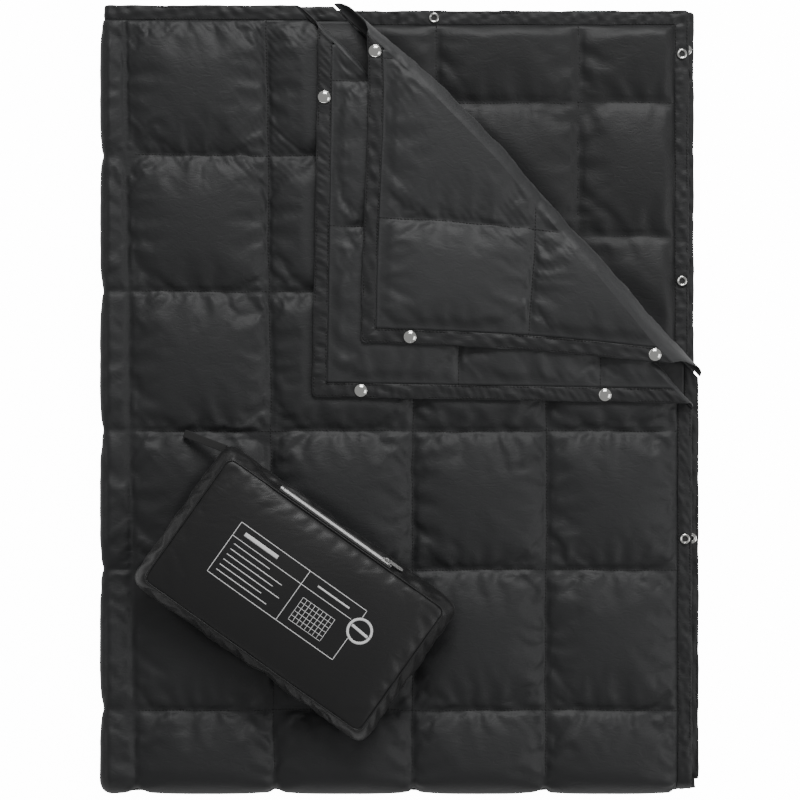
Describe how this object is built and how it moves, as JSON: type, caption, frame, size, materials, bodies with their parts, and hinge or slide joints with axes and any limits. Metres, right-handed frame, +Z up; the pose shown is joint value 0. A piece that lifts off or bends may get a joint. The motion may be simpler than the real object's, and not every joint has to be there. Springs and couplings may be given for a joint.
{
  "type": "camp quilt",
  "caption": "Quilted camp blanket folded in quarters with one corner of its upper layers turned back, and its filled zip pouch lying on it.",
  "frame": {"origin": "middle of the underside of the folded quilt", "axes": "+Y along the long side, away from the bottom fold; +X from the left fold to the open right side; +Z up, towards the pouch"},
  "size_m": [0.7, 0.922, 0.1227],
  "materials": {
    "shell_fabric": "charcoal nylon taffeta, quilted in squares",
    "lining_fabric": "charcoal nylon taffeta, quilted in squares",
    "batting": "white polyester fibre fill",
    "hem_fabric": "charcoal taffeta binding, topstitched",
    "pouch_fabric": "smooth black coated nylon",
    "zip_tape": "woven zip tape",
    "zip_teeth": "white coil",
    "zip_pull": "plated pull tab",
    "snap_steel": "nickel-plated steel",
    "webbing": "black nylon webbing"
  },
  "bodies": {
    "quilt": {"bottom_fold_inner": "shell_fabric", "bottom_fold_outer": "shell_fabric", "layer_1_right_hem": "hem_fabric", "layer_1_snap_1_cap": "snap_steel", "layer_1_snap_1_socket": "snap_steel", "layer_1_top_hem": "hem_fabric", "layer_2_right_hem": "hem_fabric", "layer_2_snap_1_cap": "snap_steel", "layer_2_snap_1_stud": "snap_steel", "layer_2_top_hem": "hem_fabric", "layer_3_hem": "hem_fabric", "layer_3_snap_1_cap": "snap_steel", "layer_3_snap_1_socket": "snap_steel", "layer_3_snap_2_cap": "snap_steel", "layer_3_snap_2_socket": "snap_steel", "layer_3_snap_3_cap": "snap_steel", "layer_3_snap_3_socket": "snap_steel", "layer_4_hem": "hem_fabric", "layer_4_snap_1_cap": "snap_steel", "layer_4_snap_1_stud": "snap_steel", "lower_corner_roll": "shell_fabric", "lower_pair_batting": "batting", "lower_pair_lining": "lining_fabric", "lower_pair_shell": "shell_fabric", "upper_corner_roll": "shell_fabric", "upper_pair_batting": "batting", "upper_pair_lining": "lining_fabric", "upper_pair_shell": "shell_fabric"},
    "lower_corner": {"lower_corner_batting": "batting", "lower_corner_hem": "hem_fabric", "lower_corner_lining": "lining_fabric", "lower_corner_shell": "shell_fabric", "lower_corner_snap_1_cap": "snap_steel", "lower_corner_snap_1_socket": "snap_steel", "lower_corner_snap_2_cap": "snap_steel", "lower_corner_snap_2_socket": "snap_steel", "lower_corner_snap_3_cap": "snap_steel", "lower_corner_snap_3_socket": "snap_steel"},
    "upper_corner": {"upper_corner_batting": "batting", "upper_corner_hem": "hem_fabric", "upper_corner_lining": "lining_fabric", "upper_corner_shell": "shell_fabric", "upper_corner_snap_1_cap": "snap_steel", "upper_corner_snap_1_stud": "snap_steel", "upper_corner_snap_2_cap": "snap_steel", "upper_corner_snap_2_stud": "snap_steel", "upper_corner_snap_3_cap": "snap_steel", "upper_corner_snap_3_stud": "snap_steel"},
    "pouch": {"pouch_bottom_panel": "pouch_fabric", "pouch_filling": "batting", "pouch_gusset": "pouch_fabric", "pouch_top_panel": "pouch_fabric", "zip_bottom_stop": "snap_steel", "zip_tape_lower": "zip_tape", "zip_tape_upper": "zip_tape", "zip_teeth": "zip_teeth", "zip_top_stop": "snap_steel"},
    "zip_slider": {"zip_slider": "snap_steel"},
    "zip_pull": {"zip_pull": "zip_pull"},
    "hang_loop": {"hang_loop": "webbing"}
  },
  "joints": [
    {"name": "lower_corner_turn", "type": "hinge", "parent": "quilt", "child": "lower_corner", "pos_m": [0.17045, 0.1675, 0.0477], "axis": [-0.7009, 0.7133, 0], "range_deg": [0, 180], "deforming": ["lower_corner_roll"]},
    {"name": "upper_corner_turn", "type": "hinge", "parent": "quilt", "child": "upper_corner", "pos_m": [0.19385, 0.19049, 0.0477], "axis": [-0.7009, 0.7133, 0], "range_deg": [0, 180], "deforming": ["upper_corner_roll"]},
    {"name": "pouch_lift", "type": "slide", "parent": "quilt", "child": "pouch", "axis": [0, 0, 1], "range_m": [0, 0.25]},
    {"name": "zip_run", "type": "slide", "parent": "pouch", "child": "zip_slider", "axis": [-0.8151, 0.5793, 0], "range_m": [0, 0.138]},
    {"name": "zip_pull_flip", "type": "hinge", "parent": "zip_slider", "child": "zip_pull", "pos_m": [-0.0149, -0.1828, 0.10065], "axis": [-0.337, -0.4742, 0.8133], "range_deg": [0, 165]},
    {"name": "hang_loop_swing", "type": "hinge", "parent": "pouch", "child": "hang_loop", "pos_m": [-0.20204, -0.05611, 0.0767], "axis": [0.3355, 0.9421, 0], "range_deg": [0, 90]}
  ],
  "couplings": [
    {"joint": "upper_corner_turn", "follows": "lower_corner_turn", "ratio": 1}
  ]
}
